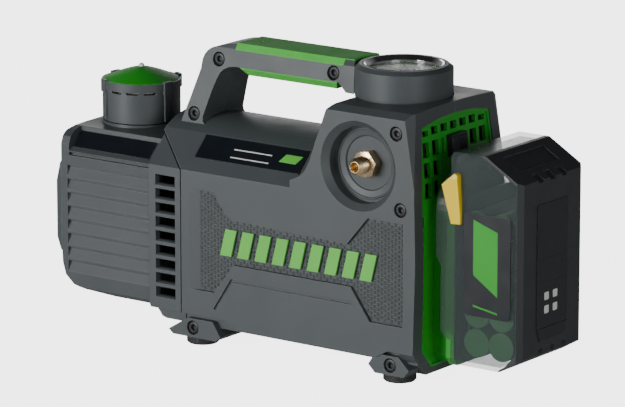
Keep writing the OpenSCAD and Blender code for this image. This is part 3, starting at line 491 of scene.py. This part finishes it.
# ---- Textured side panels -------------------------------------------------------------------
PANEL = [(-58, 103), (-46.2, 103), (-42.7, 96.8), (-37.6, 91), (-30.6, 86.7), (57.9, 84.2), (73.8, 103),
         (100.4, 103), (100.4, 37.6), (75.8, 37.6), (61.2, 57.9), (-30.4, 57.9), (-46.1, 37.7), (-58, 37.7)]
PANEL_DEPTH = 1.1
PLATE_T = 0.4
LINK_PITCH = (2.6, 3.0)
LINK_SIZE = (1.05, 1.3)
LINK_HEIGHT = 0.95
LINK_SINK = 0.05
LINK_ROOM = 0.9
BAR_ROOM = 0.9
BAR_LEAN = 4.4


def inside(point, outline, margin=0.0):
    """True if a point lies in an outline and at least the margin away from its sides."""
    x, z = point
    hit = False
    for (x0, z0), (x1, z1) in zip(outline, outline[1:] + outline[:1]):
        if (z0 > z) != (z1 > z) and x < x0 + (z - z0) / (z1 - z0) * (x1 - x0):
            hit = not hit
        if margin:
            run = Vector((x1 - x0, z1 - z0))
            share = max(0.0, min(1.0, Vector((x - x0, z - z0)).dot(run) / run.length_squared))
            if Vector((x - x0 - share * run.x, z - z0 - share * run.y)).length < margin:
                return False
    return hit


def under_bar(x, z, bars):
    """True if a link would lie under one of the leaning emblem bars."""
    for low, high in bars:
        unleaned = x - BAR_LEAN * (z - low.z) / (high.z - low.z)
        beside = unleaned <= low.x - BAR_ROOM or unleaned >= high.x - BAR_LEAN + BAR_ROOM
        if low.z - BAR_ROOM < z < high.z + BAR_ROOM and not beside:
            return True
    return False


def link_places(low, high, bars):
    """Staggered columns of link centres, on the panel and clear of the bars."""
    column = 0
    x = low.x + 1.2
    while x < high.x - 0.8:
        z = low.z + 0.8 + (column % 2) * LINK_PITCH[1] / 2
        while z < high.z - 0.6:
            if not under_bar(x, z, bars) and inside((x, z), PANEL, LINK_ROOM):
                yield x, z
            z += LINK_PITCH[1]
        x += LINK_PITCH[0]
        column += 1


def make_panels():
    """A plate with rows of tiny ridged links, like a fine chain, left out under the emblem bars."""
    low, high = box_mm("side_panels")
    bars = [bar for bar in islands("emblem_bars") if bar[0].y < 0]
    floor = high.y - PANEL_DEPTH
    base = floor + PLATE_T - LINK_SINK
    top = floor + PLATE_T + LINK_HEIGHT
    w, h = LINK_SIZE
    ridge = h * 0.4
    link_faces = [(0, 1, 4), (1, 2, 5, 4), (2, 3, 5), (3, 0, 4, 5)]
    shape = Shape()
    for side in (-1, 1):
        shape.prism(PANEL, floor, floor + PLATE_T, side_matrix(side))
        for x, z in link_places(low, high, bars):
            foot = [(x - w, z - h, base), (x + w, z - h, base), (x + w, z + h, base), (x - w, z + h, base)]
            shape.put(foot + [(x, z - ridge, top), (x, z + ridge, top)], link_faces, side_matrix(side))
    add_piece("knurled_panels", shape.vertices, shape.faces, "panel_texture", "root",
              ("side_panels",), angle=20)


make_panels()


# ---- Brass flare inlet ----------------------------------------------------------------------
INLET_SIDES = 96
THREAD_PITCH = 1.27
THREAD_DEPTH = 0.6
THREAD_R = 5.55
THREAD_LENGTH = 6.6
THREAD_STEPS = 8
CONE_LENGTH = 2.0
COLLAR_LENGTH = 1.4
FOOT_R = 6.9
BORE_R = 2.9
NUT_LENGTH = 6.2
NUT_FLATS = 15.8
NUT_TURN = math.radians(10)
NUT_CHAMFER = math.radians(30)


def nut_rings(foot, top):
    """Rings of a hexagon nut whose corners are chamfered at both ends."""
    corner = hexagon(NUT_FLATS, NUT_TURN)
    chamfer_r = NUT_FLATS / 2 * 1.01
    rings = [[], [], [], []]
    for i in range(INLET_SIDES):
        angle = 2 * math.pi * i / INLET_SIDES
        outer = corner(angle)
        inner = min(outer, chamfer_r)
        drop = (outer - inner) * math.tan(NUT_CHAMFER)
        profile = ((inner, foot), (outer, foot + drop), (outer, top - drop), (inner, top))
        for ring, (radius, height) in zip(rings, profile):
            ring.append((radius * math.cos(angle), radius * math.sin(angle), height))
    return rings


def thread_rings(bottom, top):
    """Rings up a helical thread that fades in and out at its ends."""
    rings = []
    height = bottom
    while height < top + 1e-6:
        fade_in = (height - bottom) / THREAD_PITCH
        fade_out = (top - height) / (THREAD_PITCH * 0.6) + 0.15
        ring = []
        for i in range(INLET_SIDES):
            angle = 2 * math.pi * i / INLET_SIDES
            phase = (height / THREAD_PITCH - i / INLET_SIDES) % 1.0
            crest = 1 - abs(2 * phase - 1)
            radius = THREAD_R - THREAD_DEPTH * (1 - crest) * min(1.0, fade_in, fade_out)
            ring.append((radius * math.cos(angle), radius * math.sin(angle), height))
        rings.append(ring)
        height += THREAD_PITCH / THREAD_STEPS
    return rings


def make_inlet():
    low, high = box_mm("inlet_fitting")
    place = facing_front(((low.x + high.x) / 2, high.y, (low.z + high.z) / 2))
    tip = high.y - low.y
    thread_top = tip - CONE_LENGTH
    collar_top = thread_top - THREAD_LENGTH
    nut_top = collar_top - COLLAR_LENGTH
    nut_foot = nut_top - NUT_LENGTH
    foot = [(FOOT_R, 0), (FOOT_R, nut_foot)]
    collar = [(5.6, nut_top + 0.05), (4.7, nut_top + 0.4), (4.7, collar_top)]
    cone = [(4.9, thread_top + 0.3), (3.7, tip - 0.1), (3.5, tip)]
    bore = [(BORE_R + 0.3, tip - 0.05), (BORE_R, tip - 0.5), (BORE_R, nut_foot)]

    def circles(profile):
        return [circle(radius, height, INLET_SIDES) for radius, height in profile]

    shape = Shape()
    shape.rings(circles(foot) + nut_rings(nut_foot, nut_top) + circles(collar), place)
    shape.rings(thread_rings(collar_top, thread_top) + circles(cone + bore), place)
    add_piece("flare_inlet", shape.vertices, shape.faces, "brass", "root", ("inlet_fitting",), angle=40)


make_inlet()


# ---- Gauge dial -----------------------------------------------------------------------------
SCALE_START = 215.0
SCALE_SWEEP = -270.0
MAJOR_MARKS = 7
MINOR_PER_MAJOR = 5
MARK_WIDTHS = (2.0, 0.9)    # degrees, of major and minor marks
MARK_REACH = (6.6, 5.2)     # inner ends of the marks, in from the dial's edge
INK_T = 0.08
NUMBER_SIZE = 3.4
NUMBER_STEP = 5


def on_dial(centre, radius, degrees):
    angle = math.radians(degrees)
    return centre.x + radius * math.cos(angle), centre.y + radius * math.sin(angle)


def band(shape, centre, inner, outer, start, sweep, low, high, count=96):
    """A flat ring or part of one."""
    outline = [on_dial(centre, outer, start + sweep * i / count) for i in range(count + 1)]
    outline += [on_dial(centre, inner, start + sweep * i / count) for i in range(count, -1, -1)]
    shape.prism(outline, low, high)


def flat_ring(shape, centre, inner, outer, low, high, count=96):
    rings = []
    for radius, height in ((inner, low), (outer, low), (outer, high), (inner, high)):
        rings.append([(x + centre.x, y + centre.y, z) for x, y, z in circle(radius, height, count)])
    shape.rings(rings, closed=True)


def make_dial_marks(centre, radius, top):
    ink = Shape()
    flat_ring(ink, centre, radius - 1.6, radius - 0.2, top, top + 0.12)
    steps = MINOR_PER_MAJOR * (MAJOR_MARKS - 1)
    for i in range(steps + 1):
        kind = 0 if i % MINOR_PER_MAJOR == 0 else 1
        width = MARK_WIDTHS[kind]
        start = SCALE_START + SCALE_SWEEP * (i / steps) - width / 2
        band(ink, centre, radius - MARK_REACH[kind], radius - 3.6, start, width, top, top + INK_T, 2)
    flat_ring(ink, centre, 1.6, 3.4, top, top + 0.1, 32)
    add_piece("dial_marks", ink.vertices, ink.faces, "dark_plastic", "root")


def make_dial_rings(centre, radius, top):
    lime = Shape()
    flat_ring(lime, centre, radius - 3.2, radius - 1.9, top, top + 0.1)
    band(lime, centre, 8.6, 10.2, SCALE_START, SCALE_SWEEP * 0.5, top, top + 0.1, 48)
    add_piece("dial_rings", lime.vertices, lime.faces, "letter_green", "root")


def number_mesh(value):
    data = bpy.data.curves.new("number", "FONT")
    data.body = str(value)
    data.size = NUMBER_SIZE * MM
    data.align_x = "CENTER"
    data.align_y = "CENTER"
    data.extrude = 0.05 * MM
    data.resolution_u = 3
    text = bpy.data.objects.new("number", data)
    bpy.context.scene.collection.objects.link(text)
    graph = bpy.context.evaluated_depsgraph_get()
    mesh = bpy.data.meshes.new_from_object(text.evaluated_get(graph))
    bpy.data.objects.remove(text)
    return mesh


def make_dial_numbers(centre, radius, top):
    numbers = Shape()
    for i in range(MAJOR_MARKS):
        mesh = number_mesh(i * NUMBER_STEP)
        x, y = on_dial(centre, radius - 8.8, SCALE_START + SCALE_SWEEP * i / (MAJOR_MARKS - 1))
        place = Matrix.Translation((x, y, top + 0.06))
        numbers.put([v.co / MM for v in mesh.vertices], [list(p.vertices) for p in mesh.polygons], place)
        bpy.data.meshes.remove(mesh)
    add_piece("dial_numbers", numbers.vertices, numbers.faces, "dark_plastic", "root")


def make_dial():
    low, high = box_mm("gauge_dial")
    centre = (low + high) / 2
    radius = (high.x - low.x) / 2
    plate = Shape()
    flat_ring(plate, centre, 1.5, radius, low.z, high.z)
    add_piece("dial_plate", plate.vertices, plate.faces, "dial_white", "root", ("gauge_dial",))
    make_dial_marks(centre, radius, high.z)
    make_dial_rings(centre, radius, high.z)
    make_dial_numbers(centre, radius, high.z)


make_dial()


# ---- Labels ---------------------------------------------------------------------------------
LABEL_LIFT = 0.06


def make_pack_labels():
    """The battery's side plates, with a leaning green shape and a stripe in place of their print."""
    low, high = box_mm("pack_labels")
    face = high.y
    lift = face + LABEL_LIFT
    x0, x1 = low.x + 7.3, low.x + 25.3
    skew = 6.0
    plates, trim = Shape(), Shape()
    for side in (-1, 1):
        outline = round_rectangle((low.x, low.z), (high.x, high.z), 3)
        plates.prism(outline, face - 0.5, face, side_matrix(side))
        block = [(x0, low.z + 20 + skew), (x1, low.z + 14), (x1, high.z - 4 - skew), (x0, high.z - 4)]
        stripe = [(x0, low.z + 6), (x1, low.z + 3), (x1, low.z + 4.2), (x0, low.z + 7.2)]
        trim.prism(block, face, lift, side_matrix(side))
        trim.prism(stripe, face, lift, side_matrix(side))
    add_piece("pack_label_plates", plates.vertices, plates.faces, "label_black", "battery",
              ("pack_labels",), bevel=0.15)
    add_piece("pack_label_trim", trim.vertices, trim.faces, "green_plastic", "battery")


make_pack_labels()

SQUARE_SIZE = 5.0
SQUARE_PITCH = (9.5, 8.5)
FIRST_SQUARE = (-9.0, 50.0)
FRAME_HALF = 12.0
FRAME_FOOT = 69.0
FRAME_TOP = 84.0
RULE_W = 0.35


def end_matrix(x):
    """Outlines in (y, z) on the outer end; heights grow towards +X."""
    return Matrix(((0, 0, 1, x), (1, 0, 0, 0), (0, 1, 0, 0), (0, 0, 0, 1)))


def rectangle(x0, z0, x1, z1):
    return [(x0, z0), (x1, z0), (x1, z1), (x0, z1)]


def make_end_trim():
    """Four plain pale squares and a thin frame on the end label, in place of its print."""
    high = box_mm("end_label")[1]
    place = end_matrix(high.x - 0.1)
    squares = Shape()
    for row in range(2):
        for column in range(2):
            y = FIRST_SQUARE[0] + column * SQUARE_PITCH[0]
            z = FIRST_SQUARE[1] + row * SQUARE_PITCH[1]
            outline = round_rectangle((y, z), (y + SQUARE_SIZE, z + SQUARE_SIZE), 0.8)
            squares.prism(outline, 0, LABEL_LIFT, place)
    add_piece("end_label_squares", squares.vertices, squares.faces, "white_plastic", "battery")
    lines = Shape()
    for z in (FRAME_FOOT, FRAME_TOP):
        lines.prism(rectangle(-FRAME_HALF, z, FRAME_HALF, z + RULE_W), 0, LABEL_LIFT, place)
    for y in (-FRAME_HALF, FRAME_HALF - RULE_W):
        lines.prism(rectangle(y, FRAME_FOOT, y + RULE_W, FRAME_TOP + RULE_W), 0, LABEL_LIFT, place)
    add_piece("end_label_frame", lines.vertices, lines.faces, "pack_dark", "battery")


make_end_trim()

SHOULDER_PLATE_T = 0.62
SHOULDER_SINK = 0.5
TRIM_FOOT = 0.05


def slope_matrix(side, foot_y, foot_z):
    """Outlines in (x, up the slope) on a shoulder, from its lower edge; heights grow outwards."""
    up = Vector((0, -side, 1)).normalized()
    out = Vector((0, side, 1)).normalized()
    return Matrix(((1, 0, 0, 0), (0, up.y, out.y, side * foot_y), (0, up.z, out.z, foot_z), (0, 0, 0, 1)))


def make_shoulder_trim():
    """A plain green block and fine pale rules on each shoulder label, in place of its print."""
    low, high = box_mm("shoulder_labels")
    top = SHOULDER_PLATE_T + LABEL_LIFT
    x1 = high.x - 1.5
    green, pale = Shape(), Shape()
    for side in (-1, 1):
        place = slope_matrix(side, high.y - SHOULDER_SINK, low.z + SHOULDER_SINK)
        block = [(x1 - 17, 6), (x1 - 4, 6), (x1 - 1, 12), (x1 - 14, 12)]
        green.prism(block, TRIM_FOOT, top, place)
        for v in (3.2, 9.2):
            pale.prism(rectangle(x1 - 54, v, x1 - 24, v + 0.7), TRIM_FOOT, top, place)
    add_piece("shoulder_trim_green", green.vertices, green.faces, "letter_green", "root")
    add_piece("shoulder_trim_pale", pale.vertices, pale.faces, "white_plastic", "root")


make_shoulder_trim()


# ---- Stage and light ------------------------------------------------------------------------
FLOOR_HALF = 30.0
FLOOR_GLOW = 0.05
BACKDROP_GLOW = 4.0
HORIZON_LIGHT = 0.3
OVERHEAD_LIGHT = 0.02


def make_stage():
    """A pale floor that looks white to the camera and lights the object only dimly."""
    mesh = bpy.data.meshes.new("floor")
    corners = [(x, y, 0) for x, y in rectangle(-FLOOR_HALF, -FLOOR_HALF, FLOOR_HALF, FLOOR_HALF)]
    mesh.from_pydata(corners, [], [(0, 1, 2, 3)])
    floor = bpy.data.objects.new("floor", mesh)
    bpy.context.scene.collection.objects.link(floor)
    material = bpy.data.materials.new("floor_paper")
    material.use_nodes = True
    tree = material.node_tree
    shader = tree.nodes["Principled BSDF"]
    shader.inputs["Base Color"].default_value = (0.93, 0.93, 0.93, 1)
    shader.inputs["Roughness"].default_value = 0.9
    shader.inputs["Specular IOR Level"].default_value = 0.0
    shader.inputs["Emission Color"].default_value = (1, 1, 1, 1)
    path = tree.nodes.new("ShaderNodeLightPath")
    glow = tree.nodes.new("ShaderNodeMapRange")
    glow.inputs["To Min"].default_value = FLOOR_GLOW
    glow.inputs["To Max"].default_value = BACKDROP_GLOW
    tree.links.new(path.outputs["Is Camera Ray"], glow.inputs["Value"])
    tree.links.new(glow.outputs["Result"], shader.inputs["Emission Strength"])
    mesh.materials.append(material)


make_stage()

LIGHT_TARGET = Vector((0, 0, 0.1))
AREA_LIGHTS = {    # place, size and power
    "key": ((-0.9, -2.6, 0.55), 1.2, 66),
    "side": ((2.7, -1.3, 0.45), 1.2, 24),
    "rim": ((-1.6, 2.0, 0.8), 1.0, 6),
}


def make_lights():
    for name, (place, size, power) in AREA_LIGHTS.items():
        data = bpy.data.lights.new(name, "AREA")
        data.size = size
        data.energy = power
        light = bpy.data.objects.new(name, data)
        bpy.context.scene.collection.objects.link(light)
        light.location = place
        light.rotation_euler = (Vector(place) - LIGHT_TARGET).to_track_quat("Z", "Y").to_euler()


make_lights()


def make_world():
    """Soft light round the horizon and dim overhead, so that upward faces stay dark."""
    world = bpy.data.worlds.new("studio")
    world.use_nodes = True
    tree = world.node_tree
    background = tree.nodes["Background"]
    coordinates = tree.nodes.new("ShaderNodeTexCoord")
    split = tree.nodes.new("ShaderNodeSeparateXYZ")
    ramp = tree.nodes.new("ShaderNodeMapRange")
    ramp.inputs["From Min"].default_value = 0.1
    ramp.inputs["From Max"].default_value = 0.6
    ramp.inputs["To Min"].default_value = HORIZON_LIGHT
    ramp.inputs["To Max"].default_value = OVERHEAD_LIGHT
    path = tree.nodes.new("ShaderNodeLightPath")
    mix = tree.nodes.new("ShaderNodeMix")
    mix.inputs[3].default_value = BACKDROP_GLOW
    tree.links.new(coordinates.outputs["Generated"], split.inputs[0])
    tree.links.new(split.outputs["Z"], ramp.inputs["Value"])
    tree.links.new(path.outputs["Is Camera Ray"], mix.inputs[0])
    tree.links.new(ramp.outputs["Result"], mix.inputs[2])
    tree.links.new(mix.outputs[0], background.inputs["Strength"])
    background.inputs["Color"].default_value = (1, 1, 1, 1)
    bpy.context.scene.world = world


make_world()
